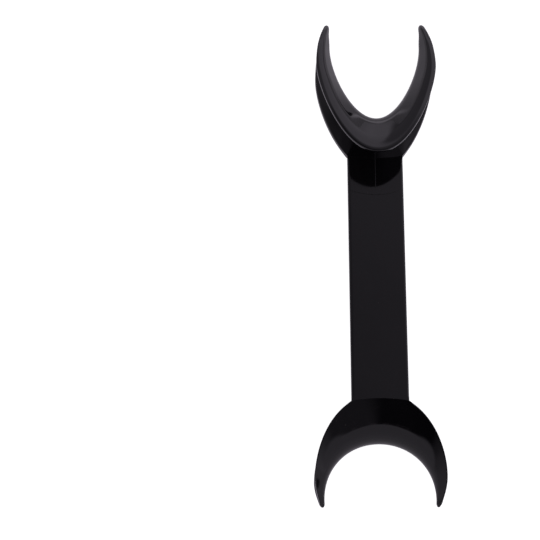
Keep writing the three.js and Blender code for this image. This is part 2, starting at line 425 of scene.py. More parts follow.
class Hook:
    """A C-shaped hook: plate, saddle and lip, built as one surface and split into pieces."""

    NECK_STEPS = 16
    HORN_STEPS = 64
    TIP_STEPS = 9
    LINE_STEPS = 10
    ARC_STEPS = 30
    NOSE_STEPS = 17
    KNEE_STEPS = 12
    CORNER_STEPS = 7
    TRACE_STEPS = 240
    HALVINGS = 40
    HORN_EASE = 1.25
    TIP_TURN = 86.0
    ROUNDING_FADE = 0.04
    ROUNDING_SHARE = 0.42

    def __init__(self, sizes: HookSizes, handle: HandleSizes) -> None:
        """Plans the hook.

        Args:
            sizes: The hook's own sizes.
            handle: The handle that it grows out of.
        """
        self.sizes = sizes
        self.handle = handle
        tip = (sizes.tip_half_spacing, sizes.tip_reach)
        self.mouth = sizes.mouth.points(sizes.channel_depth, *tip, self.TRACE_STEPS)
        self.rim = sizes.outline.points(0.0, *tip, self.TRACE_STEPS)
        half = handle.width / 2
        inner_rim = self.rim[: self.TRACE_STEPS // 2]
        self.neck = np.array([half, float(np.interp(half, inner_rim[:, 0], inner_rim[:, 1]))])
        shares = np.linspace(0.0, 1.0, self.TRACE_STEPS)
        crease = np.stack([shares * half, self.neck[1] - handle.crease_bow * (1 - shares**2)], 1)
        beyond = self.rim[(self.rim[:, 0] > half) | (self.rim[:, 1] > self.neck[1])]
        self.plate_line = np.vstack([crease, beyond])
        steps = np.linalg.norm(np.diff(self.mouth, axis=0), axis=1)
        self.along = np.concatenate([[0.0], np.cumsum(steps)])
        self.ways = np.gradient(self.mouth, self.along, axis=0)
        self.ways[0] = (1.0, 0.0)

    @property
    def neck_y(self) -> float:
        """The neck corner's distance from the handle's middle, in millimetres."""
        return self.handle.lip_spacing / 2 + float(self.neck[1])

    def _ray(self, share: float) -> tuple[np.ndarray, np.ndarray]:
        """Finds a point on the mouth edge and the unit way out of the channel there.

        Args:
            share: How far the point lies along the right half of the edge, from 0 to 1.

        Returns:
            The point and the way.
        """
        length = share * self.along[-1]
        at = np.array([np.interp(length, self.along, self.mouth[:, k]) for k in (0, 1)])
        way = np.array([np.interp(length, self.along, self.ways[:, k]) for k in (0, 1)])
        way /= np.linalg.norm(way)
        return at, np.array([way[1], -way[0]])

    def _station(self, share: float, neck_share: float, scale: float) -> Station:
        """Measures one cut across the channel on the right-hand side.

        Args:
            share: How far the cut lies along the mouth edge.
            neck_share: Where the cut through the neck corner lies.
            scale: The cut's size against its full size.

        Returns:
            The cut.
        """
        at, out = self._ray(share)
        least = self.sizes.tip_width

        def width(line: np.ndarray) -> float:
            """Gives the channel's width out to a line, eased to end at the tip's own width."""
            free = reach(at, out, line)
            return math.hypot(free, share * least) if math.isfinite(free) else least

        beyond = max(0.0, (share - neck_share) / (1 - neck_share))
        return Station(at, out, width(self.rim), width(self.plate_line), beyond, scale, 1)

    def _neck_share(self) -> float:
        """Finds the share of the mouth edge whose way out meets the neck corner.

        Returns:
            The share.
        """
        low, high = 0.0, 0.5
        for _ in range(self.HALVINGS):
            middle = (low + high) / 2
            at, out = self._ray(middle)
            across = (self.neck[0] - at[0]) * out[1] - (self.neck[1] - at[1]) * out[0]
            low, high = (middle, high) if across < 0 else (low, middle)
        return (low + high) / 2

    def stations(self) -> list[Station]:
        """Lists the cuts from the left tip to the right tip.

        Returns:
            The cuts.
        """
        neck = self._neck_share()
        start = 1 - self.sizes.tip_width / self.along[-1]
        inside = [(s * neck, 1.0) for s in np.linspace(0.0, 1.0, self.NECK_STEPS + 1)]
        ease = np.linspace(0.0, 1.0, self.HORN_STEPS + 1)[1:] ** self.HORN_EASE
        horn = [(neck + float(s) * (start - neck), 1.0) for s in ease]
        turns = np.radians(np.linspace(0.0, self.TIP_TURN, self.TIP_STEPS + 1)[1:])
        tip = [(start + (1 - start) * math.sin(a), math.cos(a)) for a in turns]
        right = [self._station(share, neck, scale) for share, scale in inside + horn + tip]
        left = [
            Station(s.at, s.out, s.lip, s.plate, s.beyond_neck, s.scale, -1) for s in right[:0:-1]
        ]
        return left + right

    def _section(self, cut: Station) -> tuple[np.ndarray, dict[str, slice]]:
        """Draws the closed section at one cut.

        Args:
            cut: The cut.

        Returns:
            The section's points (u, v), u out from the mouth edge and v up from the channel's
            middle, and the columns of its stretches.
        """
        size = self.sizes
        half = size.height / 2
        fall = 1 - cut.beyond_neck**size.height_fall
        high = (size.tip_half_height + (half - size.tip_half_height) * fall) * cut.scale
        lip_width = cut.lip * cut.scale
        plate_width = cut.plate * cut.scale
        radius = min(size.saddle_radius, size.round_share * half) * high / half
        wall = min(size.saddle_wall, size.wall_share * radius)
        edge = min(self.handle.thickness, size.edge_share * high)
        rim = min(size.rim_wall, size.edge_share * high, size.rim_share * lip_width)
        knee = min(size.lip_knee, size.knee_share * lip_width)
        nose_width = lip_width - rim / 2
        knee_at = np.array([nose_width - knee, high])

        def tangent(width: float) -> float:
            """Gives the angle at which a straight wall from this width meets the saddle."""
            away = math.hypot(width - radius, high)
            return math.atan2(high, width - radius) + math.acos(min(1.0, radius / away))

        lower, upper = tangent(plate_width), tangent(float(knee_at[0]))
        angles = -lower + np.linspace(0.0, 1.0, self.ARC_STEPS) * (upper + lower - 2 * math.pi)
        ring = np.stack([np.cos(angles), np.sin(angles)], 1)
        outer = ring * radius + [radius, 0.0]
        inner = ring * (radius - wall) + [radius, 0.0]
        turns = np.linspace(math.pi / 2, -math.pi / 2, self.NOSE_STEPS)
        round_nose = np.stack([np.cos(turns).clip(0.0), np.sin(turns)], 1)
        squared = np.sign(round_nose) * np.abs(round_nose) ** size.rim_squareness
        nose = squared * rim / 2 + [nose_width, high - rim / 2]
        back = (outer[-1] - knee_at) / np.linalg.norm(outer[-1] - knee_at)
        bend = quadratic(knee_at + back * knee, knee_at, nose[0], self.KNEE_STEPS)[:-1]
        corner_out = np.array([plate_width, -high])
        corner_in = np.array([plate_width, -high + edge])
        fade = smooth_step(cut.beyond_neck / self.ROUNDING_FADE)
        rounding = min(self.handle.edge_radius * fade, self.ROUNDING_SHARE * edge)
        round_out = max(LEAST_ROUNDING, rounding) * cut.scale
        rim_out = rounded_corner(corner_out, corner_in, outer[0], round_out, self.CORNER_STEPS)
        rim_in = rounded_corner(corner_in, inner[0], corner_out, round_out, self.CORNER_STEPS)

        def line(a: np.ndarray, b: np.ndarray) -> np.ndarray:
            """Gives the points between two ends, without the ends."""
            return a + (b - a) * np.linspace(0.0, 1.0, self.LINE_STEPS + 2)[1:-1, None]

        stretches = {
            "rim_out": rim_out,
            "plate_outer": line(rim_out[-1], outer[0]),
            "saddle_outer": outer,
            "lip_outer": np.vstack([line(outer[-1], bend[0]), bend]),
            "nose": nose,
            "lip_inner": line(nose[-1], inner[-1]),
            "saddle_inner": inner[::-1],
            "plate_inner": line(inner[0], rim_in[0]),
            "rim_in": rim_in,
        }
        columns: dict[str, slice] = {}
        first = 0
        for name, points in stretches.items():
            columns[name] = slice(first, first + len(points))
            first += len(points)
        return np.vstack(list(stretches.values())), columns

    def surface(self) -> tuple[np.ndarray, np.ndarray, dict[str, slice]]:
        """Builds the hook's whole surface in the handle frame.

        Returns:
            Points and normals of shape (cuts, columns, 3), and the columns of each stretch.
        """
        rows = []
        columns: dict[str, slice] = {}
        for cut in self.stations():
            section, columns = self._section(cut)
            away = section[:, 0] + (1 - cut.scale) * cut.lip / 2
            x = cut.side * (cut.at[0] + away * cut.out[0])
            y = cut.at[1] + away * cut.out[1] + self.handle.lip_spacing / 2
            up = section[:, 1] + self.sizes.height / 2
            if self.sizes.facing is Facing.UP:
                rows.append(np.stack([x, y, up - self.handle.thickness], 1))
            else:
                rows.append(np.stack([x, -y, -up], 1))
        points = np.array(rows)
        return points, grid_normals(points, closed=True), columns

    def build(self, place: Placement) -> dict[str, bpy.types.Object]:
        """Builds the plate, the saddle and the lip.

        Args:
            place: The handle frame's place.

        Returns:
            The pieces by the name of the CAD node that each stands for.
        """
        points, normals, columns = self.surface()
        total = points.shape[1]
        numbers = {name: np.arange(total)[span] for name, span in columns.items()}
        outer, inner = numbers["saddle_outer"], numbers["saddle_inner"]
        plate = [
            inner[-1:], numbers["plate_inner"], numbers["rim_in"], numbers["rim_out"],
            numbers["plate_outer"], outer[:1],
        ]
        lip = [
            outer[-1:], numbers["lip_outer"], numbers["nose"], numbers["lip_inner"], inner[:1],
        ]
        regions = {
            "plate": [np.concatenate(plate)],
            "saddle": [outer, inner],
            "lip": [np.concatenate(lip)],
        }
        pieces = {}
        for region, strips in regions.items():
            ring = np.concatenate(strips)
            shell = Shell()
            grid = shell.add_grid(points[:, ring], normals[:, ring])
            first = 0
            for strip in strips:
                last = first + len(strip) - 1
                shell.skin(grid[:, first : last + 1])
                joint = [last, (last + 1) % len(ring)]
                shell.skin(grid[:, joint], flat=True)
                first = last + 1
            shell.cap_ends(grid)
            node = f"{self.sizes.name}_{region}"
            pieces[node] = shell.to_object(f"{node}_moulded", place.matrix)
        return pieces


class Handle:
    """The flat bar between the hooks, with rounded long edges that fade out at the creases."""

    CORNER_STEPS = 7
    FACE_STEPS = 28
    END_STEPS = 12
    BODY_STEPS = 40

    def __init__(self, sizes: HandleSizes, small: Hook, large: Hook) -> None:
        """Plans the handle.

        Args:
            sizes: The handle's sizes.
            small: The hook at its far end.
            large: The hook at its near end.
        """
        self.sizes = sizes
        self.small = small
        self.large = large

    def crease_y(self, x: np.ndarray, hook: Hook) -> np.ndarray:
        """Gives how far the crease at one hook lies from the handle's middle."""
        share = np.clip(np.abs(x) / (self.sizes.width / 2), 0.0, 1.0)
        return hook.neck_y - self.sizes.crease_bow * (1 - share**2)

    def _loop(self, radius: float) -> np.ndarray:
        """Draws the rounded section.

        Args:
            radius: How far the rounding reaches along both sides of a corner.

        Returns:
            Points (x, z), clockwise from the front face's right end.
        """
        half = self.sizes.width / 2
        thick = self.sizes.thickness
        corners = [(half, 0.0), (half, -thick), (-half, -thick), (-half, 0.0)]
        points = []
        for k, corner in enumerate(corners):
            before = np.array(corners[k - 1], float)
            after = np.array(corners[(k + 1) % 4], float)
            here = np.array(corner, float)
            turn = rounded_corner(here, before, after, radius, self.CORNER_STEPS)
            points.append(turn)
            if k in (1, 3):
                start, end = turn[-1], after + (here - after) / (2 * half) * radius
                face = start + (end - start) * np.linspace(0, 1, self.FACE_STEPS + 2)[1:-1, None]
                points.append(face)
        return np.vstack(points)

    def build(self, place: Placement) -> dict[str, bpy.types.Object]:
        """Builds the handle.

        Args:
            place: The handle frame's place.

        Returns:
            The handle by its CAD node's name.
        """
        length = self.small.neck_y + self.large.neck_y
        fade = self.sizes.edge_fade
        near = np.linspace(0.0, fade, self.END_STEPS)
        body = np.linspace(fade, length - fade, self.BODY_STEPS)[1:-1]
        stops = np.concatenate([near, body, length - near[::-1]])
        rows = []
        for stop in stops:
            share = smooth_step(min(stop, length - stop) / fade)
            loop = self._loop(max(LEAST_ROUNDING, self.sizes.edge_radius * share))
            v = stop / length
            y = v * self.crease_y(loop[:, 0], self.small)
            y -= (1 - v) * self.crease_y(loop[:, 0], self.large)
            rows.append(np.stack([loop[:, 0], y, loop[:, 1]], 1))
        points = np.array(rows)
        shell = Shell()
        grid = shell.add_grid(points, grid_normals(points, closed=True))
        shell.skin(np.concatenate([grid, grid[:, :1]], axis=1))
        shell.cap_ends(grid)
        return {"handle": shell.to_object("handle_moulded", place.matrix)}


@dataclass(frozen=True)
class MouldMarks:
    """Fine raised lines and shallow discs that the tool leaves on the handle, in millimetres."""

    line_width: float = 0.22
    line_height: float = 0.03
    seam_end: float = 34.0
    core_line: float = 31.6
    core_bow: float = 1.6
    pin_radius: float = 2.2
    pin_height: float = 0.05
    pin_places: tuple[float, ...] = (-30.0, 0.0, 30.0)
    gate_place: float = -38.0
    gate_radius: float = 1.3
    gate_height: float = 0.18
    side_margin: float = 0.2
    ridge_sunk: float = 0.01
    disc_sunk: float = 0.02

    PATH_POINTS: ClassVar[int] = 60
    RIDGE_POINTS: ClassVar[int] = 9
    RIDGE_START: ClassVar[float] = 0.15
    RIDGE_RISE: ClassVar[float] = 4.0
    DISC_SIDES: ClassVar[int] = 48
    DISC_PROFILE: ClassVar[Stops] = (
        (0.8, 1.0), (0.93, 0.95), (0.98, 0.7),
    )

    def _ridge(self, name: str, path: np.ndarray, place: Placement) -> bpy.types.Object:
        """Raises a fine half-round ridge along a path on the front face.

        Args:
            name: The object's name.
            path: Points (x, y, z) in the handle frame.
            place: The handle frame's place.

        Returns:
            The ridge.
        """
        way = np.gradient(path[:, :2], axis=0)
        way /= np.linalg.norm(way, axis=1, keepdims=True)
        across = np.stack([way[:, 1], -way[:, 0]], 1)
        turns = np.linspace(math.pi, 0.0, self.RIDGE_POINTS)
        fade = np.minimum(1.0, np.arange(len(path)) / self.RIDGE_RISE + self.RIDGE_START)
        fade = np.minimum(fade, fade[::-1])
        rows = []
        for p, side, f in zip(path, across, fade):
            off = np.cos(turns) * self.line_width / 2
            xy = p[:2] + off[:, None] * side
            z = p[2] + np.sin(turns) * self.line_height * f - self.ridge_sunk
            rows.append(np.column_stack([xy, z]))
        points = np.array(rows)
        shell = Shell()
        grid = shell.add_grid(points, grid_normals(points, closed=False))
        shell.skin(grid)
        shell.skin(grid[:, [-1, 0]], flat=True)
        shell.cap_ends(grid)
        return shell.to_object(name, place.matrix)

    def _disc(self, name: str, y: float, radius: float, height: float, handle: HandleSizes,
              place: Placement) -> bpy.types.Object:
        """Raises a shallow round mark on the back face.

        Args:
            name: The object's name.
            y: Its place along the handle.
            radius: Its radius.
            height: How far it stands out.
            handle: The handle's sizes.
            place: The handle frame's place.

        Returns:
            The disc.
        """
        profile = [(share, height * rise) for share, rise in self.DISC_PROFILE]
        angles = np.linspace(0.0, 2 * math.pi, self.DISC_SIDES + 1)[:-1]
        rows = []
        for share, rise in [*profile, (1.0, -self.disc_sunk)]:
            x = np.cos(angles) * radius * share
            z = np.full_like(x, -handle.thickness - rise)
            rows.append(np.stack([x, y + np.sin(angles) * radius * share, z], 1))
        points = np.array(rows)
        shell = Shell()
        normals = grid_normals(points, closed=True)
        normals[0] = (0.0, 0.0, -1.0)
        grid = shell.add_grid(points, normals)
        shell.skin(np.concatenate([grid, grid[:, :1]], axis=1))
        shell.cap_ends(grid)
        return shell.to_object(name, place.matrix)

    def build(self, handle: Handle, place: Placement) -> list[bpy.types.Object]:
        """Builds the parting line on the neck, the core line across it, and the marks behind.

        Args:
            handle: The handle that they lie on.
            place: The handle frame's place.

        Returns:
            The marks.
        """
        surface, _, columns = handle.small.surface()
        plate = surface[len(surface) // 2, columns["plate_inner"]][::-1]
        y = np.linspace(plate[-3, 1], self.seam_end, self.PATH_POINTS)
        y_known = np.append(plate[:, 1][::-1], handle.small.neck_y - handle.sizes.crease_bow)
        order = np.argsort(y_known)
        z_known = np.append(plate[:, 2][::-1], 0.0)
        z = np.interp(y, y_known[order], z_known[order], left=0.0)
        seam = np.stack([np.zeros_like(y), y, z], 1)
        half = handle.sizes.width / 2 - handle.sizes.edge_radius - self.side_margin
        x = np.linspace(-half, half, self.PATH_POINTS)
        core = np.stack(
            [x, self.core_line + self.core_bow * (x / half) ** 2, np.zeros_like(x)], 1
        )
        marks = [
            self._ridge("neck_parting_line", seam, place),
            self._ridge("neck_core_line", core, place),
        ]
        discs = [
            (f"ejector_mark_{k + 1}", spot, self.pin_radius, self.pin_height)
            for k, spot in enumerate(self.pin_places)
        ]
        discs.append(("gate_mark", self.gate_place, self.gate_radius, self.gate_height))
        marks.extend(self._disc(*disc, handle.sizes, place) for disc in discs)
        return marks


# ---------------------------------------------------------------------------
# Effects that the finishes share
# ---------------------------------------------------------------------------


def solid(level: float) -> tuple[float, float, float, float]:
    """Gives a grey of one brightness."""
    return (level, level, level, 1.0)


class Graph:
    """Lays out nodes in one shader tree."""

    COLUMN = 210
    MIX_FIRST = 6
    MIX_SECOND = 7
    MIX_RESULT = 2

    def __init__(self, tree: bpy.types.NodeTree) -> None:
        """Starts on a tree."""
        self.tree = tree

    def add(self, kind: str, **settings: object) -> bpy.types.Node:
        """Adds a node.

        Args:
            kind: The node's type.
            settings: Its properties by name.

        Returns:
            The node.
        """
        node = self.tree.nodes.new(kind)
        node.location = (self.COLUMN * len(self.tree.nodes), 0)
        for key, value in settings.items():
            setattr(node, key, value)
        return node

    def join(self, source: bpy.types.NodeSocket, target: bpy.types.NodeSocket) -> None:
        """Links two sockets."""
        self.tree.links.new(source, target)

    def feed(self, value: Feed, target: bpy.types.NodeSocket) -> None:
        """Links a socket to the target, or sets the target's own value.

        Args:
            value: The socket or the value.
            target: The socket that takes it.
        """
        if isinstance(value, bpy.types.NodeSocket):
            self.join(value, target)
        else:
            target.default_value = value

    def maths(self, operation: str, first: Feed, second: Feed = 0.0,
              clamp: bool = False) -> bpy.types.NodeSocket:
        """Adds a sum on one or two values.

        Args:
            operation: The Math node's operation.
            first: The first value or socket.
            second: The second value or socket.
            clamp: Whether the result is held between 0 and 1.

        Returns:
            The result.
        """
        node = self.add("ShaderNodeMath", operation=operation, use_clamp=clamp)
        self.feed(first, node.inputs[0])
        self.feed(second, node.inputs[1])
        return node.outputs[0]

    def band(self, value: Feed, low: Feed, high: Feed) -> bpy.types.NodeSocket:
        """Eases a value from 0 at `low` to 1 at `high`.

        Args:
            value: The value.
            low: Where the result starts to rise.
            high: Where it reaches 1.

        Returns:
            The eased share.
        """
        node = self.add("ShaderNodeMapRange", interpolation_type="SMOOTHSTEP")
        self.feed(value, node.inputs["Value"])
        self.feed(low, node.inputs["From Min"])
        self.feed(high, node.inputs["From Max"])
        return node.outputs["Result"]

    def blend(self, share: Feed, first: Feed, second: Feed,
              kind: str = "MIX") -> bpy.types.NodeSocket:
        """Mixes two colours.

        Args:
            share: How much of the second colour there is.
            first: The first colour.
            second: The second colour.
            kind: How the second colour acts on the first.

        Returns:
            The mixed colour.
        """
        node = self.add("ShaderNodeMix", data_type="RGBA", blend_type=kind)
        self.feed(share, node.inputs["Factor"])
        self.feed(first, node.inputs[self.MIX_FIRST])
        self.feed(second, node.inputs[self.MIX_SECOND])
        return node.outputs[self.MIX_RESULT]

    def tinted(self, first: Feed, second: Feed) -> bpy.types.NodeSocket:
        """Multiplies two colours."""
        return self.blend(1.0, first, second, "MULTIPLY")

    def noise(self, place: bpy.types.NodeSocket, scale: Feed, detail: float,
              warp: float = 0.0) -> bpy.types.NodeSocket:
        """Adds a cloud pattern.

        Args:
            place: Where it is read.
            scale: Its scale, per metre.
            detail: How many finer layers it has.
            warp: How much it is distorted.

        Returns:
            The pattern, about 0 to 1.
        """
        node = self.add("ShaderNodeTexNoise")
        self.join(place, node.inputs["Vector"])
        self.feed(scale, node.inputs["Scale"])
        node.inputs["Detail"].default_value = detail
        node.inputs["Distortion"].default_value = warp
        return node.outputs["Fac"]

    def stretched(self, turn: float = 0.0,
                  scale: tuple[float, float, float] = (1.0, 1.0, 1.0)) -> bpy.types.NodeSocket:
        """Gives object coordinates turned about Z and scaled axis by axis.

        Args:
            turn: The turn, in radians.
            scale: The three scales.

        Returns:
            The coordinates.
        """
        node = self.add("ShaderNodeMapping", vector_type="TEXTURE")
        node.inputs["Rotation"].default_value = (0.0, 0.0, turn)
        node.inputs["Scale"].default_value = scale
        self.join(self.add("ShaderNodeTexCoord").outputs["Object"], node.inputs["Vector"])
        return node.outputs["Vector"]


class Effects:
    """The node groups that the finishes share, each built once.

    Scales are per metre, turns are in radians, and an edge is the two ends of a soft step.
    """

    WAVE_STRETCH = (1.0, 1.8, 1.0)
    WAVE_DETAIL = 1.0
    WAVE_WARP = 0.3
    PEEL_DETAIL = 2.0
    CLOUD_TURN = 0.4
    CLOUD_STRETCH = (1.0, 2.4, 1.0)
    CLOUD_SCALE = 95.0
    CLOUD_DETAIL = 5.0
    CLOUD_WARP = 0.6
    CLOUD_EDGE = (0.35, 0.75)
    SCRATCH_TURNS = (0.35, -0.95)
    SCRATCH_LENGTHS = (60.0, 42.0)
    SCRATCH_PATCHES = (120.0, 138.0)
    SCRATCH_EDGE = (0.74, 0.8)
    PATCH_DETAIL = 2.0
    PATCH_EDGE = (0.5, 0.62)
    BREAK_DETAIL = 4.0
    BREAK_EDGE = (0.38, 0.66)

    def __init__(self) -> None:
        """Builds every group."""
        self.flow = self._flow()
        self.scratches = self._scratches()
        self.dust = self._dust()
        self.wear = self._wear()

    @staticmethod
    def _start(name: str, inputs: dict[str, float],
               outputs: list[str]) -> tuple[bpy.types.NodeTree, Graph, bpy.types.Node,
                                            bpy.types.Node]:
        """Starts a group with named sockets.

        Args:
            name: The group's name.
            inputs: Its inputs and their usual values.
            outputs: Its outputs.

        Returns:
            The group, a graph on it, its input node and its output node.
        """
        tree = bpy.data.node_groups.new(name, "ShaderNodeTree")
        for key, value in inputs.items():
            socket = tree.interface.new_socket(key, in_out="INPUT", socket_type="NodeSocketFloat")
            socket.default_value = value
        for key in outputs:
            tree.interface.new_socket(key, in_out="OUTPUT", socket_type="NodeSocketFloat")
        graph = Graph(tree)
        return tree, graph, graph.add("NodeGroupInput"), graph.add("NodeGroupOutput")

    def _flow(self) -> bpy.types.NodeTree:
        """Makes the slow waves and fine orange peel of a moulded skin.

        Returns:
            The group.
        """
        tree, graph, given, result = self._start(
            "moulded_skin", {"Wave Scale": 40.0, "Peel Scale": 900.0, "Peel Share": 0.03},
            ["Height", "Cloud"],
        )
        place = graph.stretched(0.0, self.WAVE_STRETCH)
        wave = graph.noise(
            place, given.outputs["Wave Scale"], self.WAVE_DETAIL, self.WAVE_WARP
        )
        peel = graph.noise(place, given.outputs["Peel Scale"], self.PEEL_DETAIL)
        fine = graph.maths("MULTIPLY", peel, given.outputs["Peel Share"])
        graph.join(graph.maths("ADD", wave, fine), result.inputs["Height"])
        spread = graph.stretched(self.CLOUD_TURN, self.CLOUD_STRETCH)
        cloud = graph.noise(spread, self.CLOUD_SCALE, self.CLOUD_DETAIL, self.CLOUD_WARP)
        graph.join(graph.band(cloud, *self.CLOUD_EDGE), result.inputs["Cloud"])
        return tree

    def _scratches(self) -> bpy.types.NodeTree:
        """Makes sparse hair-fine handling scratches in two directions.

        Returns:
            The group.
        """
        tree, graph, given, result = self._start(
            "fine_scratches", {"Width Scale": 2600.0, "Amount": 0.5}, ["Mask"],
        )
        masks = []
        for turn, length, scale in zip(
            self.SCRATCH_TURNS, self.SCRATCH_LENGTHS, self.SCRATCH_PATCHES
        ):
            place = graph.stretched(turn, (1.0, length, 1.0))
            lines = graph.noise(place, given.outputs["Width Scale"], 0.0)
            patches = graph.noise(graph.stretched(turn), scale, self.PATCH_DETAIL)
            thin = graph.band(lines, *self.SCRATCH_EDGE)
            masks.append(graph.maths("MULTIPLY", thin, graph.band(patches, *self.PATCH_EDGE)))
        both = graph.maths("MAXIMUM", masks[0], masks[1])
        mask = graph.maths("MULTIPLY", both, given.outputs["Amount"], clamp=True)
        graph.join(mask, result.inputs["Mask"])
        return tree

    def _dust(self) -> bpy.types.NodeTree:
        """Makes scattered dust specks of uneven size.

        Returns:
            The group.
        """
        tree, graph, given, result = self._start(
            "dust_specks", {"Scale": 650.0, "Amount": 0.12, "Size": 0.09}, ["Mask"],
        )
        cells = graph.add("ShaderNodeTexVoronoi")
        graph.join(graph.stretched(), cells.inputs["Vector"])
        graph.join(given.outputs["Scale"], cells.inputs["Scale"])
        parts = graph.add("ShaderNodeSeparateColor")
        graph.join(cells.outputs["Color"], parts.inputs["Color"])
        size = graph.maths("MULTIPLY", parts.outputs["Green"], given.outputs["Size"])
        speck = graph.maths("LESS_THAN", cells.outputs["Distance"], size)
        chosen = graph.maths("LESS_THAN", parts.outputs["Red"], given.outputs["Amount"])
        graph.join(graph.maths("MULTIPLY", speck, chosen), result.inputs["Mask"])
        return tree

    def _wear(self) -> bpy.types.NodeTree:
        """Makes the broken rubbed line along outer edges.

        Returns:
            The group.
        """
        tree, graph, given, result = self._start(
            "edge_wear", {"Start": 0.53, "Full": 0.6, "Break Scale": 420.0}, ["Mask"],
        )
        edge = graph.add("ShaderNodeNewGeometry").outputs["Pointiness"]
        line = graph.band(edge, given.outputs["Start"], given.outputs["Full"])
        place = graph.stretched()
        broken = graph.noise(place, given.outputs["Break Scale"], self.BREAK_DETAIL)
        mask = graph.maths("MULTIPLY", line, graph.band(broken, *self.BREAK_EDGE))
        graph.join(mask, result.inputs["Mask"])
        return tree


# ---------------------------------------------------------------------------
# Finishes
# ---------------------------------------------------------------------------


@dataclass(frozen=True)
class PlasticFinish:
    """Black plastic as it leaves a polished mould, with light handling marks."""

    name: str
    base: Colour = (0.0029, 0.0027, 0.0033)
    cloud: Colour = (0.0038, 0.0035, 0.0041)
    rubbed: Colour = (0.014, 0.0125, 0.0135)
    dust: Colour = (0.05, 0.045, 0.042)
    specular_level: float = 0.34
    roughness: float = 0.06
    cloud_roughness: float = 0.03
    scratch_roughness: float = 0.06
    wave_height: float = 0.00003
    scratch_share: float = 0.05
    dust_share: float = 0.7
    wear_share: float = 0.6

    def build(self, effects: Effects) -> bpy.types.Material:
        """Builds the material.

        Args:
            effects: The shared node groups.

        Returns:
            The material.
        """
        material = bpy.data.materials.new(self.name)
        material.use_nodes = True
        graph = Graph(material.node_tree)
        shader = material.node_tree.nodes["Principled BSDF"]
        shader.inputs["Specular IOR Level"].default_value = self.specular_level
        skin, scratches, dust, wear = (
            graph.add("ShaderNodeGroup", node_tree=tree)
            for tree in (effects.flow, effects.scratches, effects.dust, effects.wear)
        )
        colour = graph.blend(skin.outputs["Cloud"], (*self.base, 1.0), (*self.cloud, 1.0))
        for effect, share, over in (
            (wear, self.wear_share, self.rubbed),
            (scratches, self.wear_share, self.rubbed),
            (dust, self.dust_share, self.dust),
        ):
            amount = graph.maths("MULTIPLY", effect.outputs["Mask"], share)
            colour = graph.blend(amount, colour, (*over, 1.0))
        graph.join(colour, shader.inputs["Base Color"])
        rough = graph.maths("MULTIPLY_ADD", skin.outputs["Cloud"], self.cloud_roughness)
        rough.node.inputs[2].default_value = self.roughness
        handled = graph.maths("MAXIMUM", scratches.outputs["Mask"], wear.outputs["Mask"])
        extra = graph.maths("MULTIPLY", handled, self.scratch_roughness)
        graph.join(graph.maths("ADD", rough, extra, clamp=True), shader.inputs["Roughness"])
        cut = graph.maths("MULTIPLY", scratches.outputs["Mask"], self.scratch_share)
        height = graph.maths("SUBTRACT", skin.outputs["Height"], cut)
        bump = graph.add("ShaderNodeBump")
        bump.inputs["Distance"].default_value = self.wave_height
        graph.join(height, bump.inputs["Height"])
        graph.join(bump.outputs["Normal"], shader.inputs["Normal"])
        return material


@dataclass(frozen=True)
class FloorFinish:
    """Matt white light-table sheet, with the faint cloud of paper, that shows the plastic a painted
    reflection: a softer glow with a brighter painted strip ahead of the small hook.
    """

    name: str = "light_table_sheet"
    light: Colour = (0.42, 0.42, 0.42)
    shade: Colour = (0.40, 0.40, 0.40)
    grain: float = 90.0
    grain_detail: float = 4.0
    roughness: float = 0.7
    specular_level: float = 0.2
    # painted reflection: the glow that only the plastic's reflections see, dimmer overall and
    # brighter in a strip ahead of the small hook
    mirrored: Colour = (0.16, 0.148, 0.168)
    painted_reflection_strip: Colour = (0.57, 0.53, 0.60)
    lit_start: float = 0.095
    lit_middle: float = 0.006
    lit_half: float = 0.024
    lit_fade: float = 0.022
    glow: float = 2.35
    # glow strength of the painted reflection
    painted_reflection_glow: float = 1.9

    def _ahead(self, graph: Graph) -> bpy.types.NodeSocket:
        """Marks the strip ahead of the small hook where the painted reflection is brighter.

        Args:
            graph: The material's graph.

        Returns:
            How far a place lies in the strip, from 0 to 1.
        """
        axes = graph.add("ShaderNodeSeparateXYZ")
        graph.join(graph.stretched(), axes.inputs["Vector"])
        onward = graph.band(axes.outputs["Y"], self.lit_start, self.lit_start + self.lit_fade)
        aside = graph.maths(
            "ABSOLUTE", graph.maths("SUBTRACT", axes.outputs["X"], self.lit_middle)
        )
        beside = graph.band(aside, self.lit_half, self.lit_half + self.lit_fade)
        return graph.maths("MULTIPLY", onward, graph.maths("SUBTRACT", 1.0, beside))

    def build(self) -> bpy.types.Material:
        """Builds the material: bright where it is looked at, with a painted reflection where it is
        mirrored: a softer glow, brighter in a painted strip ahead of the small hook.

        Returns:
            The material.
        """
        material = bpy.data.materials.new(self.name)
        material.use_nodes = True
        graph = Graph(material.node_tree)
        cloud = graph.noise(graph.stretched(), self.grain, self.grain_detail)
        colour = graph.blend(cloud, (*self.light, 1.0), (*self.shade, 1.0))
        seen = material.node_tree.nodes["Principled BSDF"]
        mirrored = graph.add("ShaderNodeBsdfPrincipled")
        # painted reflection colour, brighter in the strip ahead of the small hook
        painted_reflection_colour = graph.blend(
            self._ahead(graph), (*self.mirrored, 1.0), (*self.painted_reflection_strip, 1.0)
        )
        for shader, light, glow in (
            (seen, colour, self.glow), (mirrored, painted_reflection_colour, self.painted_reflection_glow),
        ):
            graph.join(colour, shader.inputs["Base Color"])
            graph.join(light, shader.inputs["Emission Color"])
            shader.inputs["Emission Strength"].default_value = glow
            shader.inputs["Roughness"].default_value = self.roughness
            shader.inputs["Specular IOR Level"].default_value = self.specular_level
        # camera rays see the even white glow; all other rays see the painted reflection
        choice = graph.add("ShaderNodeMixShader")
        graph.join(graph.add("ShaderNodeLightPath").outputs["Is Camera Ray"], choice.inputs["Fac"])
        graph.join(mirrored.outputs["BSDF"], choice.inputs[1])
        graph.join(seen.outputs["BSDF"], choice.inputs[2])
        surface = material.node_tree.nodes["Material Output"].inputs["Surface"]
        graph.join(choice.outputs["Shader"], surface)
        return material


# ---------------------------------------------------------------------------
# Stage and camera
# ---------------------------------------------------------------------------


